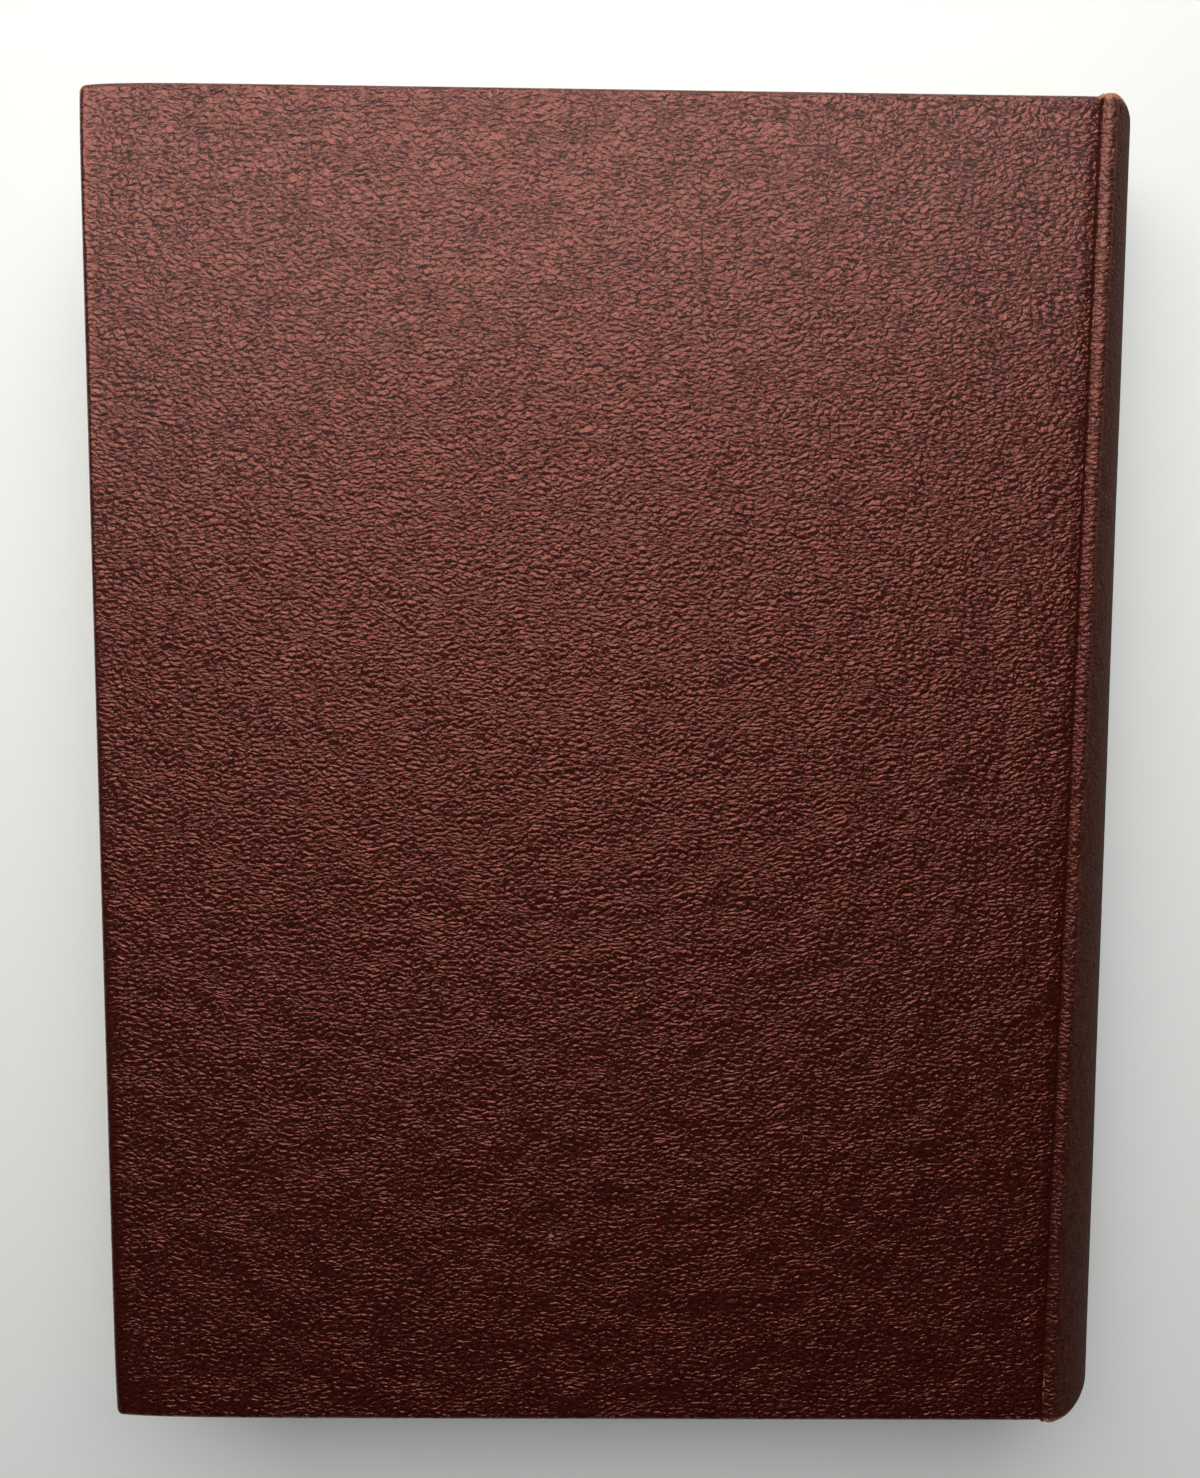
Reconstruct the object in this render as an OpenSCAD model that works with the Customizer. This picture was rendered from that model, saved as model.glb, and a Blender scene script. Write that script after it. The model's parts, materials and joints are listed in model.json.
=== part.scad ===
// Hardback book in full grained leather, lying on its front cover.
// X runs from the fore-edge to the spine, Y from the tail to the head, Z up.
// The origin is the middle of the book's footprint, on the surface it lies on.

/* [Covers] */
// Height of the covers, head to tail
cover_h = 254; // [180:1:320]
// Width of a cover, fore-edge to the middle of the joint
cover_w = 184.8; // [120:0.1:240]
// Thickness of the binder's board
board_t = 2.6; // [2:0.1:4]
// Radius of the two outer corners of a cover
corner_r = 2; // [1:0.1:4]
// Radius of the leather over a cover's edges
arris_r = 1.1; // [0.5:0.1:1.6]

/* [Leather] */
// Thickness of the leather on the covers and the spine
leather_t = 0.8; // [0.5:0.05:1.1]
// Thickness of the pared leather turned in over the board's edges
turn_in_t = 0.4; // [0.2:0.05:0.6]
// How far the leather is turned in
turn_in_w = 15; // [10:0.5:25]

/* [Endpapers] */
// Thickness of the endpaper
paper_t = 0.2; // [0.1:0.05:0.3]
// Margin of turned-in leather left bare round a pastedown
pastedown_margin = 4; // [2:0.5:8]

/* [Pages] */
// Thickness of the block of pages
pages_t = 25.6; // [22:0.2:50]
// How far the covers stand out past the pages, on three sides
square_w = 3.5; // [3:0.1:6]
// Depth of the hollow in the fore-edge
fore_hollow = 5.5; // [2:0.5:9]

/* [Spine] */
// How far the spine stands out from the joint at the head
spine_out_head = 9.8; // [8:0.1:14]
// How far the spine stands out from the joint at the tail
spine_out_tail = 13.5; // [8:0.1:15]
// Radius of the leather over a shoulder
shoulder_r = 2.2; // [2.1:0.05:2.6]
// Distance from the joint to the middle of a shoulder
shoulder_x = 1.5; // [1.3:0.1:2.1]
// How far a shoulder lies below the cover's face
shoulder_drop = 0.3; // [0.1:0.05:0.8]

/* [Joint] */
// Gap between the two lips of leather in the joint
joint_gap = 0.3; // [0.1:0.05:0.5]
// Distance from the joint to the edge of the board
joint_w = 1.05; // [0.9:0.05:1.6]

/* [Spine lining] */
// Thickness of the hollow tube behind the leather
hollow_t = 0.5; // [0.3:0.05:0.6]
// Thickness of the mull cloth
mull_t = 0.25; // [0.1:0.05:0.3]
// Thickness of a sewing tape, and of an endband's cloth
tape_t = 0.3; // [0.15:0.05:0.35]
// Width of a sewing tape
tape_w = 12; // [8:1:16]
// Number of sewing tapes
tape_count = 4; // [2:1:6]
// Distance between the middles of two tapes
tape_pitch = 46; // [30:1:56]
// Thickness of the glue between two layers
glue_t = 0.05; // [0.02:0.01:0.05]
// How far the tube and the mull stop short of the pages' ends
lining_short = 3; // [1:0.5:12]

/* [Endbands] */
// Diameter of an endband's bead
bead_d = 1.8; // [1.4:0.1:2]
// How far an endband's cloth reaches down the spine
band_skirt = 12; // [8:1:18]

/* [Headcaps] */
// Thickness of the leather folded over an end of the spine
cap_t = 0.9; // [0.6:0.05:1]
// How far a headcap stands out past the cover's end
cap_proud = 0.7; // [0:0.1:1]
// Rounding of both caps over the shoulders
shoulder_round = 0.8; // [0.4:0.1:1.2]
// Rounding of the head's cap across the middle of the spine
head_round = 2.4; // [2:0.1:3.2]
// Rounding of the tail's cap across the middle of the spine
tail_round = 4; // [2.6:0.1:4.4]
// Length over which the head's cap is rounded
head_round_len = 2.6; // [2.2:0.1:3.6]
// Length over which the tail's cap is rounded
tail_round_len = 4.5; // [3:0.1:4.8]

/* [Hidden] */

// Facets of a full circle, and of an endband's core
fine = 64;
core_facets = 24;
// Steps of a headcap's rounding, its last angle before the end, and stations along the spine
cap_steps = 6;
cap_last_angle = 75;
spine_stations = 6;
// Steps round half of a shoulder, across the spine and in the joint's roll
shoulder_steps = 5;
spine_steps = 14;
roll_steps = 6;

// Levels inside a cover, measured from its outer face
board_top = leather_t;
board_low = board_top + board_t;
turn_in_low = board_low + turn_in_t;
cover_t = turn_in_low + paper_t;
flyleaf_low = cover_t + paper_t;
book_t = pages_t + 2 * flyleaf_low;
mid_z = book_t / 2;

// Places across the book
spine_reach = max(spine_out_head, spine_out_tail);
fore_x = -(cover_w + spine_reach) / 2;
joint_x = fore_x + cover_w;
board_x0 = fore_x + leather_t;
board_x1 = joint_x - joint_w;
pages_x = fore_x + square_w;

// Places along the book
board_half = cover_h / 2 - leather_t;
pages_half = cover_h / 2 - square_w;
spine_half = cover_h / 2 + cap_proud;
lining_half = pages_half - lining_short;

// Insets of the spine's layers from the outer face of its leather
hollow_in = leather_t + glue_t;
mull_in = hollow_in + hollow_t + glue_t;
tape_in = mull_in + mull_t + glue_t;
pages_in = tape_in + tape_t + glue_t;

// The shoulder's arc, its height above the book's middle, and its first angle at the joint
shoulder_z = mid_z - shoulder_drop - shoulder_r;
lip_x = joint_gap / 2;
lip_angle = acos((lip_x - shoulder_x) / shoulder_r);
groove_depth = shoulder_drop + shoulder_r * (1 - sin(lip_angle));
// The shoulder's wall stands behind the flyleaf that folds up beside it
fold_gap = 0.15;
flyleaf_x = lip_x + fold_gap;
wall_x = flyleaf_x + paper_t;
wall_depth = shoulder_drop + shoulder_r;

// Angles round a shoulder at which the pages and the mull end
pages_end_angle = 110;
mull_end_angle = 100;

// Reach of the leather folded in at a headcap: over the shoulders, and across the middle
shoulder_lip = 0.5;
lip_reach = 0.8;

// Endband's core: how far it sinks into the cloth, and how much of it the cloth covers
band_overlap = 0.25;
cloth_share = 0.75;

// Spare length by which a cutting solid passes the faces that it cuts
spare = 1;

// How far the spine stands out at y, and the angle and radius of its round there
function spine_out(y) =
  spine_out_tail + (spine_out_head - spine_out_tail) * (y / cover_h + 0.5);
function round_angle(y) =
  2 * atan((spine_out(y) - shoulder_x - shoulder_r) / shoulder_z);
function round_r(y) = shoulder_r + shoulder_z / sin(round_angle(y));

// Every arc of the spine's section, from one angle to the other in steps
function steps(a, b, n) = [for (i = [0:n]) a + (b - a) * i / n];
function tail_of(list) = [for (i = [1:len(list) - 1]) list[i]];
function section_angles(y, end) =
  let (p = round_angle(y))
  concat(
    steps(end, p, shoulder_steps),
    tail_of(steps(p, -p, spine_steps)),
    tail_of(steps(-p, -end, shoulder_steps))
  );
function round_angles(y) = steps(round_angle(y), -round_angle(y), spine_steps);

// Inset at an angle: the first value over the shoulders, the second across the middle
function inset_at(a, y, inset) =
  let (p = round_angle(y))
  abs(a) >= p ? inset[0]
  : inset[0] + (inset[1] - inset[0]) * pow(cos(90 * a / p), 2);

// Point of the spine's section at angle a, moved in from the leather's outer face
function spine_point(a, y, inset) =
  let (p = round_angle(y), r = round_r(y), d = inset_at(a, y, inset))
  let (
    on_round = abs(a) <= p,
    turn = (on_round ? r : shoulder_r) - d,
    hub_x = on_round ? -(r - shoulder_r) * cos(p) : 0,
    hub_z = on_round ? 0 : sign(a) * shoulder_z
  )
  [joint_x + shoulder_x + hub_x + turn * cos(a), y, mid_z + hub_z + turn * sin(a)];

// Station of a curved sheet: [y, outer inset, inner inset]
function even_stations(y0, y1, outer, inner) =
  [for (y = steps(y0, y1, spine_stations)) [y, [outer, outer], [inner, inner]]];

// Share of a quarter round at a distance s of 0 to 1 from its end
function quarter(s) = 1 - sqrt(max(0, 1 - pow(1 - min(s, 1), 2)));

// Stations of one headcap, from the plain spine to its end
function cap_stations(side, length, mid_round) =
  let (
    shoulder_in = shoulder_round + shoulder_lip - leather_t,
    mid_in = mid_round + lip_reach - leather_t
  )
  [for (b = concat(steps(0, cap_last_angle, cap_steps), [90]))
    let (
      s = 1 - sin(b),
      gap = max(cap_t, s * length),
      inside = quarter((gap - cap_t) / (length - cap_t)),
      outside = quarter(s)
    )
    [
      side * (spine_half - s * length),
      [shoulder_round * outside, mid_round * outside],
      [leather_t + shoulder_in * inside, leather_t + mid_in * inside]
    ]
  ];
function reversed(list) = [for (i = [len(list) - 1:-1:0]) list[i]];

// Closed solid through rings: each ring runs down the sheet's outer face and back up its
// inner face with equally many points, so that strips between the two close its ends
module ring_solid(rings) {
  n = len(rings);
  m = len(rings[0]);
  last = (n - 1) * m;
  points = [for (ring = rings) each ring];
  sides = [
    for (i = [0:n - 2])
      for (j = [0:m - 1])
        let (a = i * m + j, b = i * m + (j + 1) % m)
          each [[a, b + m, b], [a, a + m, b + m]]
  ];
  ends = [
    for (j = [0:m / 2 - 2])
      let (a = j, b = j + 1, c = m - 2 - j, d = m - 1 - j)
        each [
          [a, b, c], [a, c, d],
          [last + a, last + c, last + b], [last + a, last + d, last + c]
        ]
  ];
  polyhedron(points, concat(sides, ends), convexity = 6);
}

// Sheet that follows the spine through stations, up to an end angle or to the round's own
module spine_sheet(stations, end = 0) {
  ring_solid([
    for (s = stations)
      let (angles = end > 0 ? section_angles(s[0], end) : round_angles(s[0]))
      concat(
        [for (a = angles) spine_point(a, s[0], s[1])],
        [for (a = reversed(angles)) spine_point(a, s[0], s[2])]
      )
  ]);
}

// Prism along Y through a section drawn in X and depth below the back cover's face
module along_y(half) {
  translate([0, half, book_t])
    rotate([90, 0, 0])
      mirror([0, 1, 0])
        linear_extrude(height = 2 * half)
          children();
}

// Turns what is built for the back cover into the front cover's
module for_front() {
  translate([0, 0, book_t])
    mirror([0, 0, 1])
      children();
}

// Text block: folded sheets sewn together, cut in a hollow at the fore-edge
module fore_edge_section() {
  half = pages_t / 2;
  r = (half * half + fore_hollow * fore_hollow) / (2 * fore_hollow);
  difference() {
    translate([pages_x, flyleaf_low])
      square([joint_x + wall_x - pages_x, pages_t]);
    translate([pages_x + fore_hollow - r, mid_z])
      circle(r = r, $fn = 2 * fine);
  }
}

// Back of the text block, rounded and backed: the sheets flare out into the shoulders
function backed_ring(y) =
  let (
    round_points = [for (a = section_angles(y, pages_end_angle)) spine_point(a, y, [pages_in, pages_in])],
    wall = steps(wall_depth, book_t - wall_depth, len(round_points) - 1)
  )
  concat(round_points, [for (z = wall) [joint_x + wall_x, y, z]]);

module pages() {
  color("#e6dcc3") {
    along_y(pages_half)
      fore_edge_section();
    ring_solid([for (y = steps(-pages_half, pages_half, spine_stations)) backed_ring(y)]);
  }
}

// Free half of an endpaper, folded up beside the shoulder
module flyleaf() {
  color("#ddd0b4")
    along_y(pages_half) {
      translate([pages_x, cover_t])
        square([joint_x + wall_x - pages_x, paper_t]);
      translate([joint_x + flyleaf_x, wall_depth])
        square([paper_t, flyleaf_low - wall_depth]);
    }
}

module back_flyleaf() {
  flyleaf();
}

module front_flyleaf() {
  for_front()
    flyleaf();
}

// Linen tapes that the sections are sewn round
module sewing_tapes() {
  color("#efe8d8")
    for (i = [0:tape_count - 1]) {
      y = (i - (tape_count - 1) / 2) * tape_pitch;
      spine_sheet([
        for (e = [-1, 1]) [y + e * tape_w / 2, [tape_in, tape_in], [tape_in + tape_t, tape_in + tape_t]]
      ]);
    }
}

// Endband: a bead worked over a core, on a cloth skirt glued to the spine
module endband(side) {
  bead_y = side * (pages_half + bead_d / 2);
  bead_in = pages_in + bead_d / 2 - band_overlap - glue_t;
  angle = round_angle(bead_y);
  r = round_r(bead_y);
  skirt_y = side * (pages_half - band_skirt);
  cloth_y = side * (pages_half + cloth_share * bead_d);
  translate([joint_x + shoulder_x - (r - shoulder_r) * cos(angle), bead_y, mid_z])
    rotate([90, 0, 0])
      rotate([0, 0, -angle])
        rotate_extrude(angle = 2 * angle, $fn = fine)
          translate([r - bead_in, 0])
            circle(d = bead_d, $fn = core_facets);
  spine_sheet([
    for (y = [min(skirt_y, cloth_y), max(skirt_y, cloth_y)])
      [y, [tape_in, tape_in], [tape_in + tape_t, tape_in + tape_t]]
  ]);
}

module head_band() {
  color("#b98d4e")
    endband(1);
}

module tail_band() {
  color("#b98d4e")
    endband(-1);
}

// Open-weave cloth glued over the spine from shoulder to shoulder
module mull() {
  color("#f2eee4")
    spine_sheet(even_stations(-lining_half, lining_half, mull_in, mull_in + mull_t), mull_end_angle);
}

// Paper tube between the mull and the leather
module spine_hollow() {
  color("#b59a72")
    spine_sheet(even_stations(-lining_half, lining_half, hollow_in, hollow_in + hollow_t));
}

// Leather over the spine, lipped into both joints and folded in as a headcap at each end
module spine_leather() {
  color("#5c241d")
    spine_sheet(
      concat(
        reversed(cap_stations(-1, tail_round_len, tail_round)),
        [for (y = steps(-cover_h / 2, cover_h / 2, spine_stations))
          if (abs(y) < cover_h / 2) [y, [0, 0], [leather_t, leather_t]]],
        cap_stations(1, head_round_len, head_round)
      ),
      lip_angle
    );
}

// Rectangle with rounded corners, from arcs and squares
module soft_rect(x0, x1, y0, y1, r) {
  translate([x0 + r, y0])
    square([x1 - x0 - 2 * r, y1 - y0]);
  translate([x0, y0 + r])
    square([x1 - x0, y1 - y0 - 2 * r]);
  for (x = [x0 + r, x1 - r], y = [y0 + r, y1 - r])
    translate([x, y])
      circle(r = r, $fn = fine);
}

// Cover's plan: rounded at the fore-edge, square at the joint
module cover_plan(x0, x1, half, r) {
  soft_rect(x0, x1 - r, -half, half, r);
  translate([x1 - 2 * r, -half])
    square([2 * r, 2 * half]);
}

// Slab of a cover between two depths
module cover_slab(x0, x1, half, r, depth0, depth1) {
  translate([0, 0, book_t - depth1])
    linear_extrude(height = depth1 - depth0)
      cover_plan(x0, x1, half, r);
}

// Greyboard that stiffens a cover
module board() {
  color("#8d8271")
    cover_slab(board_x0, board_x1, board_half, corner_r - leather_t, board_top, board_low);
}

module back_board() {
  board();
}

module front_board() {
  for_front()
    board();
}

// The leather rolls down over the board's edge into the joint
function roll_depth(s) = groove_depth * s * s * (3 - 2 * s);
function roll_points(extra) =
  [for (s = steps(0, 1, roll_steps))
    [board_x1 + s * (joint_w - lip_x), roll_depth(s) + extra]];

module cover_section() {
  soft_rect(fore_x, board_x1, 0, turn_in_low, arris_r);
  translate([board_x1 - 2 * arris_r, 0])
    square([2 * arris_r, turn_in_low]);
  polygon(concat(roll_points(0), reversed(roll_points(leather_t))));
}

// Leather of one cover: outer skin, three wrapped edges, turn-ins and the joint's lip
module cover_leather() {
  color("#5c241d")
    difference() {
      intersection() {
        along_y(cover_h / 2)
          cover_section();
        translate([fore_x - spare, 0, book_t])
          rotate([90, 0, 90])
            mirror([0, 1, 0])
              linear_extrude(height = cover_w + 2 * spare)
                soft_rect(-cover_h / 2, cover_h / 2, 0, turn_in_low, arris_r);
        cover_slab(fore_x, joint_x, cover_h / 2, corner_r, 0, turn_in_low);
      }
      cover_slab(board_x0, board_x1, board_half, corner_r - leather_t, board_top, board_low);
      translate([fore_x + turn_in_w, -(cover_h / 2 - turn_in_w), book_t - turn_in_low - spare])
        cube([board_x1 - fore_x - turn_in_w, cover_h - 2 * turn_in_w, spare + turn_in_t + board_t / 2]);
    }
}

module back_leather() {
  cover_leather();
}

module front_leather() {
  for_front()
    cover_leather();
}

// Pasted half of an endpaper: it steps down off the turn-ins onto the board,
// and laps up the board's edge beside the joint
module pastedown() {
  x0 = fore_x + pastedown_margin;
  half = cover_h / 2 - pastedown_margin;
  window_x0 = fore_x + turn_in_w;
  window_half = cover_h / 2 - turn_in_w;
  color("#ddd0b4") {
    difference() {
      cover_slab(x0, board_x1 + paper_t, half, paper_t, board_low, cover_t);
      difference() {
        translate([x0 - spare, -half - spare, book_t - turn_in_low])
          cube([board_x1 - x0 + spare, 2 * (half + spare), turn_in_t + spare]);
        translate([window_x0, -window_half, book_t - cover_t - spare])
          cube([board_x1 - window_x0 + spare, 2 * window_half, cover_t]);
      }
      translate([window_x0 + paper_t, -window_half + paper_t, book_t - cover_t - spare])
        cube([board_x1 + paper_t - window_x0, 2 * (window_half - paper_t), turn_in_t + spare]);
    }
    translate([board_x1, -half, book_t - board_low])
      cube([paper_t, 2 * half, board_low - wall_depth]);
  }
}

module back_pastedown() {
  pastedown();
}

module front_pastedown() {
  for_front()
    pastedown();
}

pages();
back_flyleaf();
front_flyleaf();
sewing_tapes();
head_band();
tail_band();
mull();
spine_hollow();
spine_leather();
back_board();
back_leather();
back_pastedown();
front_board();
front_leather();
front_pastedown();
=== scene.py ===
import json
import math

import bmesh
import bpy
import numpy as np
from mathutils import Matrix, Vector


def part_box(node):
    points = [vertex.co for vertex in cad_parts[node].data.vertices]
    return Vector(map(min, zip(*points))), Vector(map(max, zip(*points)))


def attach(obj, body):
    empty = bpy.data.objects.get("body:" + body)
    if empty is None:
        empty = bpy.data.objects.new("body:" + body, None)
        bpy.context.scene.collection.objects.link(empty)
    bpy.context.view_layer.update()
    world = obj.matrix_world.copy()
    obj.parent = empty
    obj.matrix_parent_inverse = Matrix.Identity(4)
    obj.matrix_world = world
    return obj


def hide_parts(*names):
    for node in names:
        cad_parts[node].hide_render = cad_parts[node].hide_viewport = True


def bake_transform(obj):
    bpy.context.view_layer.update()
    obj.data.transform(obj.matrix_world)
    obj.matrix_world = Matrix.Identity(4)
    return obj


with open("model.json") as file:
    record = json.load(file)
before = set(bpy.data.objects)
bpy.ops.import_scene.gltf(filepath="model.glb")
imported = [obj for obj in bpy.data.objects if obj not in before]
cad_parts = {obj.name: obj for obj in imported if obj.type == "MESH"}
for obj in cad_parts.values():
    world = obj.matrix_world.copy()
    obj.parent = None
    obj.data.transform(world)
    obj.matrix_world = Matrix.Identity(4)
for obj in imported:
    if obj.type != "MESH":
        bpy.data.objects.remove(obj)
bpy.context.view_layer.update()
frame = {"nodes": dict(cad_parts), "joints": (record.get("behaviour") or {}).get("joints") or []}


# Camera: a phone held almost level over the book, a few centimetres toward the head of its
# middle. Its place and tilt are what the slant of the book's four edges gives.
mm = 0.001


def corners(node):
    """Lowest and highest corner of a CAD node, in millimetres."""
    return [np.array(corner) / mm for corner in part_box(node)]


cover_low, cover_high = corners("back_leather")
book_t = cover_high[2]
fore_x = cover_low[0]
cover_half = cover_high[1]
joint_x = frame["joints"][0]["pos_m"][0] / mm

photo_w, photo_h = 1200, 1478
lens_px = 1295
camera_from_cover = (-0.537, 33.652, 242.81)
camera_tilt = (-5.7055, -0.6332, 0.5656)

camera_data = bpy.data.cameras.new("camera")
camera_data.sensor_width = 36
camera_data.lens = camera_data.sensor_width * lens_px / max(photo_w, photo_h)
camera_data.clip_start = 0.01
camera = bpy.data.objects.new("camera", camera_data)
bpy.context.scene.collection.objects.link(camera)
cover_middle = np.array([(fore_x + joint_x) / 2, 0, book_t])
camera.location = Vector((cover_middle + camera_from_cover) * mm)
camera.rotation_euler = [math.radians(angle) for angle in camera_tilt]
bpy.context.scene.camera = camera


# Boards: two sheets of greyboard, pressed from pulped paper and sawn square.
# They stiffen the covers and lie out of sight inside the leather.
def linear(hex_colour):
    """Linear RGBA of an sRGB hex colour."""
    parts = [int(hex_colour[i:i + 2], 16) / 255 for i in (1, 3, 5)]
    return [c / 12.92 if c <= 0.04045 else ((c + 0.055) / 1.055) ** 2.4 for c in parts] + [1]


def add(tree, kind, inputs=None, stops=None, **settings):
    """Adds a shader node. An input takes a value, a socket, or a node, whose first output it is.
    The two stops of a colour ramp are given as a place and a hex colour each."""
    node = tree.nodes.new(kind)
    for key, value in settings.items():
        setattr(node, key, value)
    for key, value in (inputs or {}).items():
        if isinstance(value, bpy.types.Node):
            value = value.outputs[0]
        if isinstance(value, bpy.types.NodeSocket):
            tree.links.new(value, node.inputs[key])
        else:
            node.inputs[key].default_value = value
    for number, (place, hex_colour) in enumerate((stops or {}).items()):
        node.color_ramp.elements[number].position = place
        node.color_ramp.elements[number].color = linear(hex_colour)
    return node


def new_material(name):
    """A material, its tree, its bare surface, and the place on the object in millimetres, so that
    a texture's scale counts its waves to a millimetre."""
    material = bpy.data.materials.new(name)
    material.use_nodes = True
    tree = material.node_tree
    surface = tree.nodes["Principled BSDF"]
    seat = add(tree, "ShaderNodeTexCoord")
    place = add(tree, "ShaderNodeVectorMath",
                {0: seat.outputs["Object"], "Scale": 1 / mm}, operation="SCALE")
    return material, tree, surface, place


def give(tree, surface, **inputs):
    """Links a node's output to a surface's socket, or sets a constant on it."""
    for key, value in inputs.items():
        socket = surface.inputs[key.replace("_", " ")]
        if isinstance(value, bpy.types.Node):
            value = value.outputs[0]
        if isinstance(value, bpy.types.NodeSocket):
            tree.links.new(value, socket)
        else:
            socket.default_value = value


def fibrous(name, pale, dark, fibre, rough, relief):
    """Paper or board: a pulp of fibres that clouds the colour and roughens the face."""
    material, tree, surface, place = new_material(name)
    drawn = add(tree, "ShaderNodeVectorMath",
                {0: place, 1: (1 / fibre, 1 / (3 * fibre), 1 / fibre)}, operation="MULTIPLY")
    fibres = add(tree, "ShaderNodeTexNoise",
                 {"Vector": drawn, "Scale": 1, "Detail": 3, "Roughness": 0.6, "Distortion": 1.5})
    clouds = add(tree, "ShaderNodeTexNoise", {"Vector": place, "Scale": 0.05, "Detail": 3})
    mixed = add(tree, "ShaderNodeMath", {0: fibres, 1: clouds}, operation="MULTIPLY")
    colour = add(tree, "ShaderNodeValToRGB", {"Fac": mixed}, stops={0.1: dark, 0.36: pale})
    bump = add(tree, "ShaderNodeBump", {"Height": fibres, "Distance": relief * mm, "Strength": 1})
    give(tree, surface, Base_Color=colour, Roughness=rough, Normal=bump)
    return material


def refinish(node, material):
    """Gives a carried-over CAD node its finish."""
    mesh = frame["nodes"][node].data
    mesh.materials.clear()
    mesh.materials.append(material)


# Greyboard is a dull warm grey with darker fibres about 0.4 mm wide.
greyboard = fibrous("greyboard", "#a2988a", "#6f675b", fibre=0.4, rough=0.9, relief=0.05)
for node in ("back_board", "front_board"):
    refinish(node, greyboard)


# Pages: sheets of book paper, folded, sewn and glued, with the spine rounded and backed.
# The edges are trimmed with a plough, and the rounding leaves a hollow in the fore-edge.
pages_low, pages_high = corners("pages")
flyleaf_low, flyleaf_high = corners("back_flyleaf")
mid_z = book_t / 2
leaf_t = 0.2
endpaper_t = 0.2
fore_hollow = 5.5

# Each leaf is trimmed a little short, and each section of leaves wavers along the fore-edge.
trim_slip = 0.07
section_leaves, waver, waver_length = 8, 0.06, 30

# The spine stands out more at the tail than at the head. Its round passes into a smaller one
# over each shoulder, and the leaves climb the shoulders beside the joint.
spine_out_tail, spine_out_head = 13.5, 9.8
shoulder_r, shoulder_x, shoulder_drop = 2.2, 1.5, 0.3
shoulder_z = mid_z - shoulder_drop - shoulder_r
shoulder_wall, shoulder_ramp = 0.5, 1.2
pages_inset = 2.05


def spine_round(y):
    """Half angle of the spine's round at y, and its radius at the leather's outer face."""
    out = spine_out_tail + (spine_out_head - spine_out_tail) * (y / (2 * cover_half) + 0.5)
    half_angle = 2 * np.arctan((out - shoulder_x - shoulder_r) / shoulder_z)
    return half_angle, shoulder_r + shoulder_z / np.sin(half_angle)


def spine_point(angle, y, inset):
    """Points across the spine: normal angle from the outside, place along it, inset."""
    half_angle, radius = spine_round(y)
    on_round = np.abs(angle) <= half_angle
    turn = np.where(on_round, radius - inset, shoulder_r - inset)
    hub_x = np.where(on_round, -(radius - shoulder_r) * np.cos(half_angle), 0)
    hub_z = np.where(on_round, 0, np.sign(angle) * shoulder_z)
    x = joint_x + shoulder_x + hub_x + turn * np.cos(angle)
    return np.stack([x, y + 0 * x, mid_z + hub_z + turn * np.sin(angle)], -1)


def smooth(t):
    """Smooth step from 0 to 1 as t goes from 0 to 1."""
    t = np.clip(t, 0, 1)
    return t * t * (3 - 2 * t)


def wave(seed, size, *place):
    """Soft noise from -1 to 1 with waves about that long in millimetres, for one or two places."""
    place = np.broadcast_arrays(*[np.asarray(p, float) / size for p in place])
    shape = [int(np.ceil(p.max() - p.min())) + 3 for p in place]
    knots = np.random.default_rng(seed).uniform(-1, 1, shape)
    low = [np.floor(p - p.min()).astype(int) for p in place]
    part = [smooth(p - p.min() - cell) for p, cell in zip(place, low)]
    if len(place) == 1:
        return knots[low[0]] * (1 - part[0]) + knots[low[0] + 1] * part[0]
    near, far = (knots[low[0], low[1] + side] * (1 - part[0])
                 + knots[low[0] + 1, low[1] + side] * part[0] for side in (0, 1))
    return near * (1 - part[1]) + far * part[1]


def ring_faces(rings, around):
    """Quads between rings that are closed and have equally many points."""
    return [(i * around + j, i * around + (j + 1) % around,
             (i + 1) * around + (j + 1) % around, (i + 1) * around + j)
            for i in range(rings - 1) for j in range(around)]


def make_piece(name, points, faces, material, crease=None, marks=None):
    """A closed mesh from points in millimetres, with its normals outward.
    crease is the angle past which an edge stays sharp; marks are values at its points."""
    mesh = bpy.data.meshes.new(name)
    mesh.from_pydata((np.asarray(points) * mm).tolist(), [], faces)
    for mark, values in (marks or {}).items():
        values = np.asarray(values, np.float32)
        kind, part = ("FLOAT", "value") if values.ndim == 1 else ("FLOAT_VECTOR", "vector")
        mesh.attributes.new(mark, kind, "POINT").data.foreach_set(part, values.ravel())
    build = bmesh.new()
    build.from_mesh(mesh)
    bmesh.ops.remove_doubles(build, verts=build.verts, dist=0.0005 * mm)
    bmesh.ops.dissolve_degenerate(build, edges=build.edges, dist=0.0005 * mm)
    bmesh.ops.recalc_face_normals(build, faces=build.faces)
    build.to_mesh(mesh)
    build.free()
    mesh.shade_smooth()
    if crease is not None:
        mesh.set_sharp_from_angle(angle=math.radians(crease))
    mesh.materials.append(material)
    made = bpy.data.objects.new(name, mesh)
    bpy.context.scene.collection.objects.link(made)
    return made


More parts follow.
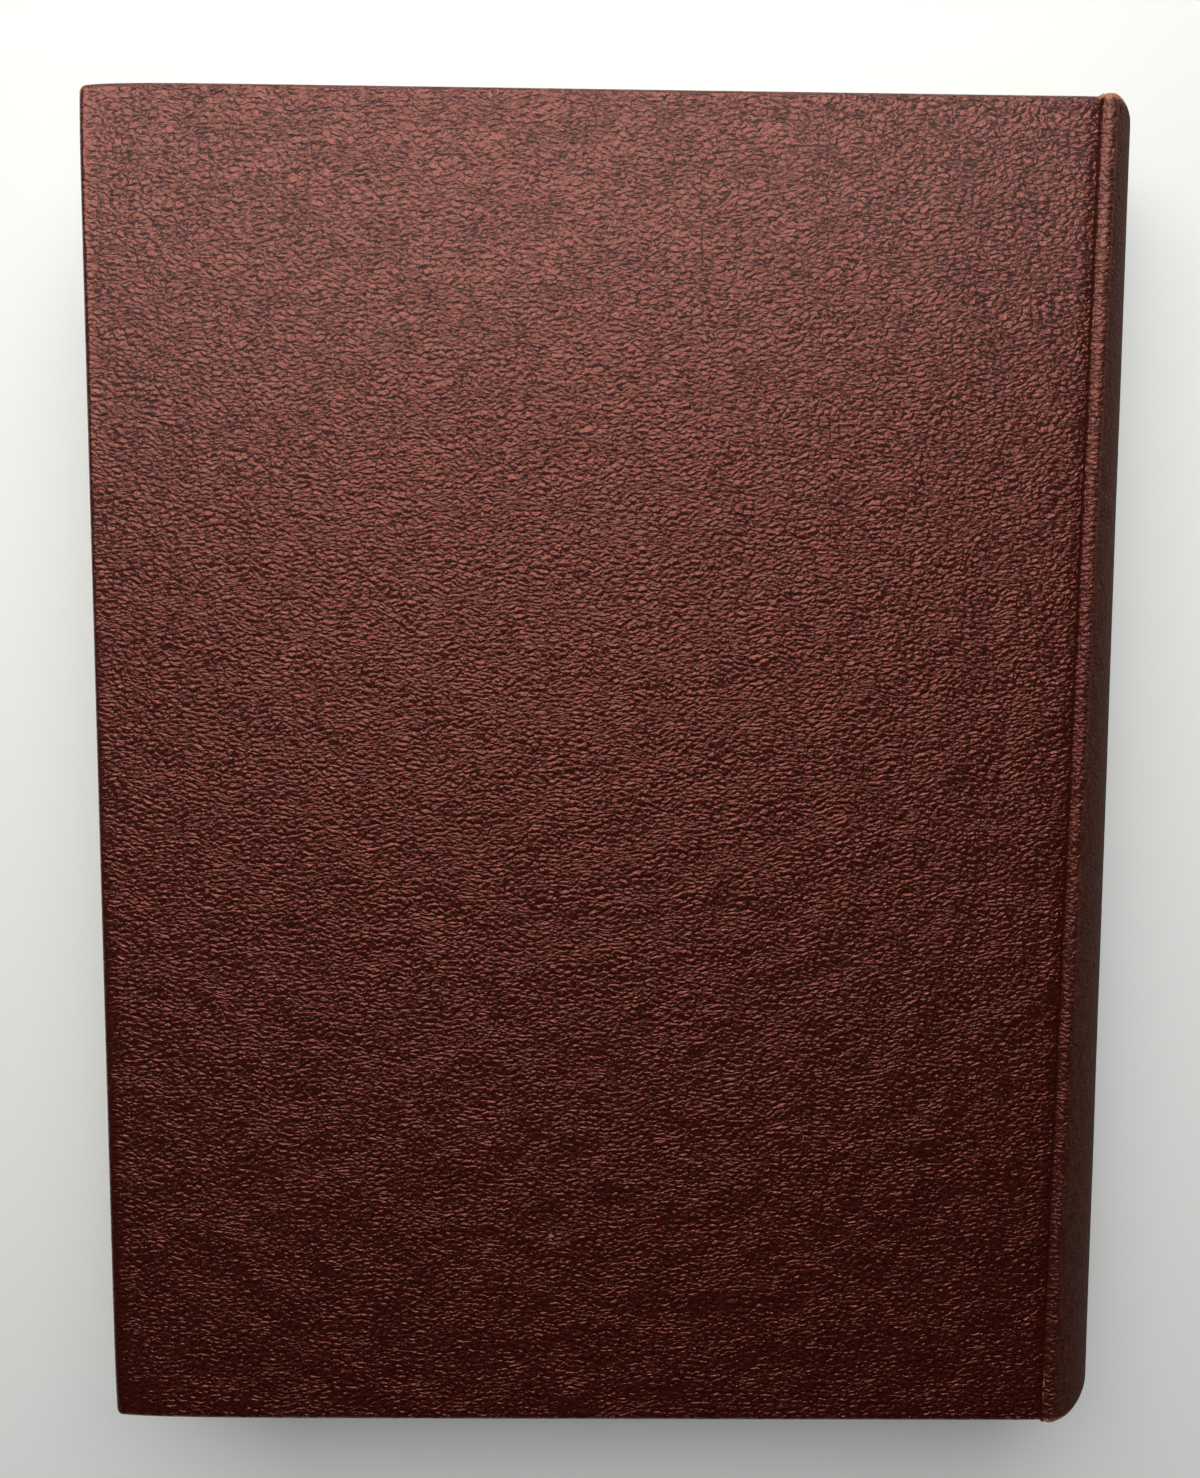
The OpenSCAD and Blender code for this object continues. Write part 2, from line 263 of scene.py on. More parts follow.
# Two leaves of 0.1 mm are drawn as one of 0.2 mm, so that they show: uncoated cream paper,
# a little browner at its trimmed edges, matt, with a fine line at every leaf.
def page_paper():
    material, tree, surface, place = new_material("book_paper_leaves")
    stack = add(tree, "ShaderNodeVectorMath", {0: place, 1: (0.02, 0.02, 1 / leaf_t)},
                operation="MULTIPLY")
    leaves = add(tree, "ShaderNodeTexNoise",
                 {"Vector": stack, "Scale": 1, "Detail": 1, "Roughness": 0.5})
    age = add(tree, "ShaderNodeTexNoise",
              {"Vector": place, "Scale": 0.06, "Detail": 4, "Roughness": 0.6})
    mixed = add(tree, "ShaderNodeMix", {"Factor": 0.4, 2: leaves.outputs[0], 3: age.outputs[0]},
                data_type="FLOAT")
    colour = add(tree, "ShaderNodeValToRGB", {"Fac": mixed}, stops={0.3: "#b79f78", 0.62: "#ecdfc4"})
    bump = add(tree, "ShaderNodeBump", {"Height": leaves, "Distance": 0.05 * mm, "Strength": 0.8})
    give(tree, surface, Base_Color=colour, Roughness=0.85, Normal=bump)
    return material


def text_block():
    """The leaves one by one, each a ring round its four edges, from the front of the book to its
    back: fore-edge from tail to head, head to the spine, spine to the tail, tail to the fore-edge."""
    half_t = flyleaf_low[2] - mid_z
    half_y = pages_high[1]
    hollow_r = (half_t ** 2 + fore_hollow ** 2) / (2 * fore_hollow)
    flare = shoulder_z + shoulder_r - pages_inset
    count = round(2 * half_t / leaf_t)
    slip = np.random.default_rng(11).uniform(0, trim_slip, (count, 3))
    along = np.linspace(-1, 1, 90)
    to_spine = np.concatenate([np.linspace(0, 0.94, 24)[1:], np.linspace(0.945, 0.999, 24)])
    rings = []
    for leaf in range(count):
        for level in (leaf, leaf + 1):
            rise = level * 2 * half_t / count - half_t
            spread = rise * flare / half_t
            front = pages_low[0] + fore_hollow - hollow_r + math.sqrt(hollow_r ** 2 - rise ** 2)
            front += slip[leaf, 0]
            front += waver * (1 + wave(100 + leaf // section_leaves, waver_length, along * half_y))
            tail_y, head_y = slip[leaf, 2] - half_y, half_y - slip[leaf, 1]
            fore_side = np.stack([front, np.linspace(tail_y, head_y, len(along)),
                                  np.full(len(along), rise)], -1)
            ends = []
            for y, start_x in ((head_y, front[-1]), (tail_y, front[0])):
                half_angle, radius = spine_round(y)
                hub_x = joint_x + shoulder_x - (radius - shoulder_r) * math.cos(half_angle)
                back_x = hub_x + math.sqrt((radius - pages_inset) ** 2 - spread ** 2)
                x = start_x + (back_x - start_x) * to_spine
                bent = smooth((x - joint_x - shoulder_wall) / shoulder_ramp)
                ends.append(np.stack([x, np.full(len(x), y), rise + (spread - rise) * bent], -1))
            head_end, tail_end = ends
            down = np.linspace(0, 1, 12)[1:-1, None]
            spine_side = head_end[-1] + (tail_end[-1] - head_end[-1]) * down
            rings.append(np.concatenate([fore_side, head_end, spine_side, tail_end[::-1]]))
    around = len(rings[0])
    faces = ring_faces(len(rings), around)
    for start in (0, (len(rings) - 1) * around):
        head = list(range(start + len(along), start + len(along) + len(to_spine)))
        tail = list(range(start + around - 1, start + around - 1 - len(to_spine), -1))
        faces += zip(head, head[1:], tail[1:], tail)
        faces += [(*range(start, head[0] + 1), tail[0]), tuple(range(head[-1], tail[-1] + 1))]
    points = np.concatenate(rings) + [0, 0, mid_z]
    return make_piece("pages_trimmed", points, faces, page_paper(), crease=30)


pages = text_block()
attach(pages, "text_block")
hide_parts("pages")


# Spine linings: linen tapes that the sheets are sewn round, mull glued over them, and a
# hollow tube of kraft paper that lets the leather spine spring away from the pages.
def band_scale(spacing):
    """Scale at which the bands of a wave texture lie that many millimetres apart."""
    return 2 * math.pi / (20 * spacing)


def woven(name, pale, dark, thread, relief):
    """Plain weave: two sets of threads that pass over and under each other."""
    material, tree, surface, place = new_material(name)
    sets = []
    for axis in ("Y", "X"):
        threads = add(tree, "ShaderNodeTexWave",
                      {"Vector": place, "Scale": band_scale(thread), "Distortion": 0.6,
                       "Detail": 1, "Detail Scale": 0.4}, wave_type="BANDS", bands_direction=axis)
        sets.append(threads.outputs["Fac"])
    weave = add(tree, "ShaderNodeMath", {0: sets[0], 1: sets[1]}, operation="MULTIPLY")
    colour = add(tree, "ShaderNodeValToRGB", {"Fac": weave}, stops={0: dark, 0.6: pale})
    bump = add(tree, "ShaderNodeBump", {"Height": weave, "Distance": relief * mm, "Strength": 1})
    give(tree, surface, Base_Color=colour, Roughness=0.9, Normal=bump)
    return material


# Linen tape is a tight weave of 0.5 mm threads, mull an open one of 1 mm spacing stiffened
# with glue, and kraft paper a smooth brown sheet with long fibres.
refinish("sewing_tapes", woven("linen_tape", "#ece4d2", "#b3a78e", thread=0.5, relief=0.08))
refinish("mull", woven("starched_mull", "#f0ebde", "#a7926a", thread=1, relief=0.15))
kraft = fibrous("kraft_paper", "#bb9a6c", "#93734a", fibre=0.3, rough=0.75, relief=0.03)
refinish("spine_hollow", kraft)


# Endbands: silk wound over a cord core in red and gold and tied down through the sections,
# one at the head and one at the tail, each on a strip of cloth glued to the spine.
bead_r = 0.9
bead_lap = 0.3
silk_pitch, silk_turns_of_a_colour = 0.5, 3
groove_between_turns = 0.1
skirt_inset, skirt_t, skirt_length = 1.7, 0.3, 12
pages_half = pages_high[1]


# Silk thread is glossy for a fibre: a soft sheen across the turns, with a shadow between them.
def wound_silk():
    material, tree, surface, _ = new_material("wound_silk")
    turn = add(tree, "ShaderNodeAttribute", attribute_name="turn")
    red_turn = add(tree, "ShaderNodeMath", {0: turn.outputs["Fac"], 1: 0.5},
                   operation="GREATER_THAN")
    colour = add(tree, "ShaderNodeMix",
                 {"Factor": red_turn, "A": linear("#d9b878"), "B": linear("#7d2a20")}, data_type="RGBA")
    give(tree, surface, Base_Color=colour.outputs[2], Roughness=0.45,
         Sheen_Weight=0.3, Sheen_Roughness=0.4)
    return material


def grid_faces(rows, columns, start=0):
    """Quads of a grid of points."""
    corner = [start + i * columns + j for i in range(rows - 1) for j in range(columns - 1)]
    return [(k, k + 1, k + columns + 1, k + columns) for k in corner]


def sheet(name, front, back, material, crease=None, marks=None):
    """A closed sheet from two grids of points, its two faces, stitched along all four edges."""
    rows, columns = front.shape[:2]
    points = np.concatenate([front.reshape(-1, 3), back.reshape(-1, 3)])
    offset = rows * columns
    faces = grid_faces(rows, columns)
    faces += [tuple(offset + k for k in face[::-1]) for face in faces]
    edge = list(range(columns))
    edge += [i * columns + columns - 1 for i in range(1, rows)]
    edge += [(rows - 1) * columns + j for j in range(columns - 2, -1, -1)]
    edge += [i * columns for i in range(rows - 2, 0, -1)]
    faces += [(a, a + offset, b + offset, b) for a, b in zip(edge, edge[1:] + edge[:1])]
    both = {mark: np.concatenate([v.reshape(rows * columns, -1)] * 2).squeeze()
            for mark, v in (marks or {}).items()}
    return make_piece(name, points, faces, material, crease, both)


def endband(name, side, material):
    """The wound bead along the end of the spine, with a ridge for every turn of silk."""
    steps, around = 6, 20
    y = side * (pages_half + bead_r)
    half_angle, radius = spine_round(y)
    reach = radius - pages_inset - bead_r + bead_lap
    count = int(2 * half_angle * reach / silk_pitch) * steps + 1
    turn = np.arange(count) / steps
    bulge = 1 - groove_between_turns * np.abs(np.cos(turn * math.pi)) ** 3
    hub_x = joint_x + shoulder_x - (radius - shoulder_r) * math.cos(half_angle)
    circle = np.linspace(0, 2 * math.pi, around, endpoint=False)
    rings = []
    for angle, fat in zip(np.linspace(-1, 1, count) * half_angle, bulge * bead_r):
        out = reach + fat * np.cos(circle)
        rings.append(np.stack([hub_x + out * math.cos(angle), y + side * fat * np.sin(circle),
                               mid_z + out * math.sin(angle)], -1))
    faces = ring_faces(count, around)
    faces += [tuple(range(around)), tuple(range((count - 1) * around, count * around))]
    colour_of_turn = (turn // silk_turns_of_a_colour) % 2
    return make_piece(name, np.concatenate(rings), faces, material,
                      marks={"turn": np.repeat(colour_of_turn, around)})


silk = wound_silk()

# The strip of cloth is a tight, dull weave of off-white cotton.
band_cloth = woven("endband_cloth", "#e9dfc8", "#a89a7c", thread=0.5, relief=0.06)
for end, side in (("head", 1), ("tail", -1)):
    bead = endband(f"{end}_band_silk", side, silk)
    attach(bead, "text_block")
    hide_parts(f"{end}_band")
    skirt_y = side * np.linspace(pages_half - skirt_length, pages_half + bead_r, 10)[:, None]
    half_angle, _ = spine_round(skirt_y)
    across = half_angle * np.linspace(-1, 1, 40)
    skirt = sheet(f"{end}_band_cloth", spine_point(across, skirt_y, skirt_inset),
                  spine_point(across, skirt_y, skirt_inset + skirt_t), band_cloth)
    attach(skirt, "text_block")


# Endpapers: a folded sheet of stout laid paper on each side of the pages. One half is pasted
# down inside the cover over the leather's turn-ins, the other lies free on the pages.
pastedown_low, pastedown_high = corners("back_pastedown")
board_low, board_high = corners("back_board")
turn_in_w, turn_in_slope = 15, 1.2
turn_in_drop = board_low[2] - pastedown_low[2] - endpaper_t
laid_spacing = 1.1


# Laid endpaper: cream, with faint lines 1.1 mm apart, unevenly browned and slightly cockled.
def endpaper_stock():
    material, tree, surface, place = new_material("laid_endpaper")
    laid = add(tree, "ShaderNodeTexWave",
               {"Vector": place, "Scale": band_scale(laid_spacing), "Distortion": 0.3, "Detail": 1},
               wave_type="BANDS", bands_direction="Y")
    pulp = add(tree, "ShaderNodeTexNoise",
               {"Vector": place, "Scale": 0.9, "Detail": 5, "Roughness": 0.65})
    cockle = add(tree, "ShaderNodeTexNoise", {"Vector": place, "Scale": 0.035, "Detail": 2})
    lines = add(tree, "ShaderNodeMix", {"Factor": 0.82, 2: laid.outputs["Fac"], 3: pulp.outputs[0]},
                data_type="FLOAT")
    clouded = add(tree, "ShaderNodeMix",
                  {"Factor": 0.16, 2: lines.outputs[0], 3: cockle.outputs[0]}, data_type="FLOAT")
    colour = add(tree, "ShaderNodeValToRGB", {"Fac": clouded},
                 stops={0.3: "#c6b188", 0.62: "#e0d3b6"})
    fine = add(tree, "ShaderNodeBump", {"Height": lines, "Distance": 0.03 * mm, "Strength": 1})
    bump = add(tree, "ShaderNodeBump",
               {"Height": cockle, "Distance": 0.9 * mm, "Strength": 0.5, "Normal": fine})
    give(tree, surface, Base_Color=colour, Roughness=0.8, Normal=bump)
    return material


endpaper = endpaper_stock()


def for_cover(points, cover):
    """Turns points built for the back cover into the front cover's, by mirroring them in Z."""
    if cover == "front":
        points = points * [1, 1, -1] + [0, 0, book_t]
    return points


def pastedown(cover):
    """The pasted half: it steps down off the turn-ins and laps up the board beside the joint."""
    step_x = fore_x + turn_in_w
    x = np.concatenate([np.linspace(pastedown_low[0], step_x - 1, 14),
                        np.linspace(step_x, step_x + turn_in_slope, 5),
                        np.linspace(step_x + 3, board_high[0], 60)])
    half = pastedown_high[1]
    window = cover_half - turn_in_w
    upward = np.concatenate([np.linspace(window - turn_in_slope, window, 5),
                             np.linspace(window + 1, half, 14)])
    downward = np.concatenate([np.linspace(-half, -window - 1, 14),
                               np.linspace(-window, -window + turn_in_slope, 5)])
    y = np.concatenate([downward, np.linspace(-window + 3, window - 3, 90), upward])
    x, y = np.meshgrid(x, y, indexing="ij")
    inside = np.minimum(x - step_x, window - np.abs(y)) / turn_in_slope
    low = pastedown_low[2] + turn_in_drop * smooth(inside)
    front = np.stack([x, y, low], -1)
    back = front + [0, 0, endpaper_t]
    edge_y, edge_low = y[-1], low[-1]
    lap_z = np.repeat(np.linspace(board_low[2], pastedown_high[2], 5)[:, None], len(edge_y), 1)
    lap_front = np.stack([0 * lap_z + pastedown_high[0], 0 * lap_z + edge_y, lap_z], -1)
    lap_back = lap_front - [endpaper_t, 0, 0]
    corner = np.stack([0 * edge_y + pastedown_high[0], edge_y, edge_low], -1)[None]
    inner = np.stack([0 * edge_y + board_high[0], edge_y, edge_low + endpaper_t], -1)[None]
    front = np.concatenate([front, corner, lap_front])
    back = np.concatenate([back, inner, lap_back])
    return sheet(f"{cover}_pastedown_paper", for_cover(front, cover), for_cover(back, cover),
                 endpaper, crease=50)


for cover in ("back", "front"):
    paper = pastedown(cover)
    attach(paper, f"{cover}_cover")
    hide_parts(f"{cover}_pastedown")
    refinish(f"{cover}_flyleaf", endpaper)


# Inner joints: where the endpaper passes from the pages to the cover. The fold stands up
# beside the board when the book is shut.
lap_x = pastedown_high[0] - endpaper_t / 2
wall_x = flyleaf_high[0] - endpaper_t / 2
fold_low = pastedown_high[2]
fold_reach, fold_half_t = 0.4, 0.09

# How far below the cover's face the fold's top lies, and the two ends of its bend.
fold_depth, fold_bend_depth = 2.17, 2.5


def inner_joint(cover):
    """A strip of the endpaper, arched from the lap on the board to the wall of the flyleaf."""
    arch = np.linspace(math.pi, 0, 21)
    middle = (lap_x + wall_x) / 2
    half_w = (wall_x - lap_x) / 2
    rise = book_t - fold_depth - endpaper_t / 2 - fold_low
    x = np.concatenate([[lap_x], middle + half_w * np.cos(arch), [wall_x]])
    z = fold_low + np.concatenate([[-fold_reach], rise * np.sin(arch), [-fold_reach]])
    across = np.stack([np.gradient(z), -np.gradient(x)], -1)
    across /= np.linalg.norm(across, axis=1)[:, None]
    y = np.linspace(-pastedown_high[1], pastedown_high[1], 120)
    faces = []
    for out in (fold_half_t, -fold_half_t):
        edge_x = (x + out * across[:, 0])[:, None] + 0 * y
        edge_z = (z + out * across[:, 1])[:, None] + 0 * y
        faces.append(np.stack([edge_x, y + 0 * edge_x, edge_z], -1))
    return sheet(f"{cover}_inner_joint", for_cover(faces[0], cover), for_cover(faces[1], cover),
                 endpaper)


def bend_across(strip, cover):
    """Bakes a strip's placement into its mesh, for the back cover and the front cover alike."""
    if cover == "back":
        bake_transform(strip)
    else:
        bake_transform(strip)


for cover in ("back", "front"):
    strip = inner_joint(cover)
    bend_across(strip, cover)


# Leather: one goatskin, dyed dark red and boarded so that its grain stands up in pebbles.
# It is pasted over the boards and the spine, pared at the edges and turned in all round.
leather_t = book_t - board_high[2]
board_edge_x = board_high[0]
cover_depth = cover_high[2] - cover_low[2]
turn_in_t = 0.4
corner_r, arris_r = 1.2, 1.1
edge_fall, edge_fall_w = 0.25, 1.7

# The skin pulls the outline in toward its corners, and its face falls at their tips.
side_pinch, fore_pinch, tip_fall = 0.7, 0.3, 0.35

# Its own unevenness: slow swells by their depth and length, folds by their depth and spacing.
swell_depth, swell_length = 0.05, 26
crinkle_depth, crinkle_spacing = 0.035, 4.5

# The joint meets the spine at its lip, at this angle round the shoulder and this deep.
joint_lip = 0.15
lip_angle = math.acos((joint_lip - shoulder_x) / shoulder_r)
groove_depth = shoulder_drop + shoulder_r * (1 - math.sin(lip_angle))

# The grain: size of a pebble, number of fine ridges and pores to a millimetre, and how high
# they stand where a pebble stands 1. The bone folder leaves it this sleek in the groove.
pebble_w, pebble_h = 2, 1.05
ridges_per_mm, ridge_height = (0.75, 1.4), 2.7
pores_per_mm, pore_height = 4.5, 0.16
grain_relief = 0.14
groove_sleek = 0.15


# Goatskin has a satin gloss from its dyed and glazed grain: a glint on each pebble, and a veil
# over all toward the window. Pebbles are about 1 by 2 mm, with painted shade darkening the
# creases between them, and the skin is tan where its dyed face has worn away, brown and dull
# where it has only faded.
def goatskin(name, specular, roughness, glaze):
    """Pebbled leather. Attributes give each point's place on the skin in millimetres, and how
    worn, faded or pressed flat it is there."""
    material, tree, surface, _ = new_material(name)
    skin = add(tree, "ShaderNodeAttribute", attribute_name="skin").outputs["Vector"]
    worn, faded, sleek = [add(tree, "ShaderNodeAttribute", attribute_name=mark).outputs["Fac"]
                          for mark in ("worn", "faded", "sleek")]

    # The rows of pebbles wander, over 9 mm and again over 1.1 mm.
    bent = skin
    for wave_size, reach in ((9, 1.3), (1.1, 0.3)):
        drift = add(tree, "ShaderNodeTexNoise", {"Vector": skin, "Scale": 1 / wave_size, "Detail": 1},
                    noise_dimensions="2D")
        centred = add(tree, "ShaderNodeVectorMath",
                      {0: drift.outputs["Color"], 1: (0.5, 0.5, 0.5)}, operation="SUBTRACT")
        bent = add(tree, "ShaderNodeVectorMath", {0: centred, 1: (2 * reach,) * 3, 2: bent},
                   operation="MULTIPLY_ADD")

    # Each pebble is a dome between creases, crossed by finer ridges and pricked by pores.
    drawn = add(tree, "ShaderNodeVectorMath", {0: bent, 1: (1 / pebble_w, 1 / pebble_h, 0)},
                operation="MULTIPLY")
    crease = add(tree, "ShaderNodeTexVoronoi", {"Vector": drawn, "Scale": 1, "Randomness": 1},
                 feature="DISTANCE_TO_EDGE", voronoi_dimensions="2D")
    near = add(tree, "ShaderNodeMapRange",
               {"Value": crease, "From Max": 0.5, "To Min": 1, "To Max": 0})
    hollow = add(tree, "ShaderNodeMath", {0: near, 1: 1.6}, operation="POWER")
    dome = add(tree, "ShaderNodeMath", {0: 1, 1: hollow}, operation="SUBTRACT")
    ridged = add(tree, "ShaderNodeVectorMath", {0: bent, 1: (*ridges_per_mm, 0)},
                 operation="MULTIPLY")
    ridges = add(tree, "ShaderNodeTexNoise",
                 {"Vector": ridged, "Scale": 1, "Detail": 2, "Roughness": 0.5}, noise_dimensions="2D")
    pores = add(tree, "ShaderNodeTexNoise",
                {"Vector": skin, "Scale": pores_per_mm, "Detail": 2, "Roughness": 0.6},
                noise_dimensions="2D")
    height = add(tree, "ShaderNodeMath", {0: ridges, 1: ridge_height, 2: dome},
                 operation="MULTIPLY_ADD")
    height = add(tree, "ShaderNodeMath", {0: pores, 1: pore_height, 2: height},
                 operation="MULTIPLY_ADD")
    strength = add(tree, "ShaderNodeMapRange", {"Value": sleek, "To Min": 1, "To Max": 0.25})
    bump = add(tree, "ShaderNodeBump",
               {"Height": height, "Distance": grain_relief * mm, "Strength": strength})

    # The dye is a little uneven over the skin, and the creases are darkened with painted shade.
    clouds = add(tree, "ShaderNodeTexNoise",
                 {"Vector": skin, "Scale": 0.03, "Detail": 4, "Roughness": 0.6}, noise_dimensions="2D")
    dye = add(tree, "ShaderNodeMix",
              {"Factor": clouds, "A": linear("#280905"), "B": linear("#330c06")}, data_type="RGBA")
    dye_and_crease_shade = add(tree, "ShaderNodeMix",
               {"Factor": dome, "A": linear("#210603"), "B": dye.outputs[2]}, data_type="RGBA")

    # Fading leaves it brown in streaks along the spine, and wear frays its dyed face to tan.
    drawn_out = add(tree, "ShaderNodeVectorMath", {0: skin, 1: (1.1, 0.35, 0)}, operation="MULTIPLY")
    streaks = add(tree, "ShaderNodeTexNoise",
                  {"Vector": drawn_out, "Scale": 1, "Detail": 4, "Roughness": 0.7},
                  noise_dimensions="2D")
    streaked = add(tree, "ShaderNodeMapRange", {"Value": streaks, "From Min": 0.35, "From Max": 0.85})
    brown = add(tree, "ShaderNodeMath", {0: streaked, 1: faded}, operation="MULTIPLY")
    dye_and_crease_shade = add(tree, "ShaderNodeMix",
               {"Factor": brown, "A": dye_and_crease_shade.outputs[2], "B": linear("#4a3528")}, data_type="RGBA")
    fray = add(tree, "ShaderNodeTexNoise",
               {"Vector": skin, "Scale": 1.3, "Detail": 4, "Roughness": 0.7}, noise_dimensions="2D")
    frayed = add(tree, "ShaderNodeMath", {0: fray, 1: worn}, operation="ADD")
    bare = add(tree, "ShaderNodeMapRange", {"Value": frayed, "From Min": 0.95, "From Max": 1.15})
    tan = add(tree, "ShaderNodeMix",
              {"Factor": fray, "A": linear("#653c24"), "B": linear("#a27a56")}, data_type="RGBA")
    colour = add(tree, "ShaderNodeMix",
                 {"Factor": bare, "A": dye_and_crease_shade.outputs[2], "B": tan.outputs[2]}, data_type="RGBA")

    dull = add(tree, "ShaderNodeMath", {0: bare, 1: faded}, operation="MAXIMUM")
    rough = add(tree, "ShaderNodeMapRange", {"Value": dull, "To Min": roughness, "To Max": 0.85})
    gloss = add(tree, "ShaderNodeMapRange", {"Value": dull, "To Min": glaze, "To Max": 0})
    give(tree, surface, Base_Color=colour.outputs[2], Roughness=rough, Normal=bump, IOR=1.5,
         Specular_IOR_Level=specular, Specular_Tint=(1, 0.34, 0.27, 1), Coat_Weight=gloss,
         Coat_Roughness=0.33, Coat_IOR=1.5)
    return material


leather = goatskin("pebbled_goatskin", specular=1.0, roughness=0.24, glaze=0.2)
spine_skin = goatskin("rubbed_goatskin", specular=0.3, roughness=0.6, glaze=0)


def puckers(x, y):
    """Depth of the skin's own unevenness: slow swells, with folds that run aslant."""
    swell = swell_depth * (1 + wave(3, swell_length, x, y))
    crinkle = crinkle_depth * np.abs(wave(5, crinkle_spacing, x + 0.8 * y, 1.6 * y))
    return swell + crinkle


def end_drop(y):
    """Fall of the leather's face at y, where it rounds over the head or the tail."""
    past = np.clip(np.abs(y) - (cover_half - arris_r), 0, arris_r)
    return arris_r - np.sqrt(arris_r ** 2 - past ** 2)


def joint_section():
    """Outer face of the joint from the board's edge to the spine's lip: place from the joint,
    depth below the cover's face, and how far along the skin each point lies."""
    roll = np.linspace(0, 1, 14)
    x = board_edge_x - joint_x + roll * (joint_x - joint_lip - board_edge_x)
    depth = edge_fall + (groove_depth - edge_fall) * smooth(roll)

    # Past the groove the skin starts out level and takes up the slope of the spine's round.
    part = np.linspace(0, 1, 9)[1:]
    slope = -1 / math.tan(lip_angle) * 2 * joint_lip
    x = np.concatenate([x, -joint_lip + 2 * joint_lip * part])
    depth = np.concatenate([depth, groove_depth - part ** 2 * (part - 1) * slope])
    run = np.cumsum(np.hypot(np.diff(x, prepend=x[0]), np.diff(depth, prepend=depth[0])))
    return x, depth, board_edge_x + run


# A scuff near the tail of the upper cover, and small pale marks over the rest of it. Each has
# its place and its reach, along x and y.
scuffs = [(-13.1, -88.8, 0.9, 1), (-10.4, -93.8, 1.3, 0.5), (-20, -84.9, 0.6, 0.5),
          (43.2, -46, 0.5, 0.4), (20.7, 27.4, 0.5, 0.5), (31.4, 14.3, 0.4, 0.6),
          (-61, 52, 0.6, 0.4), (62.5, 88, 0.5, 0.5)]


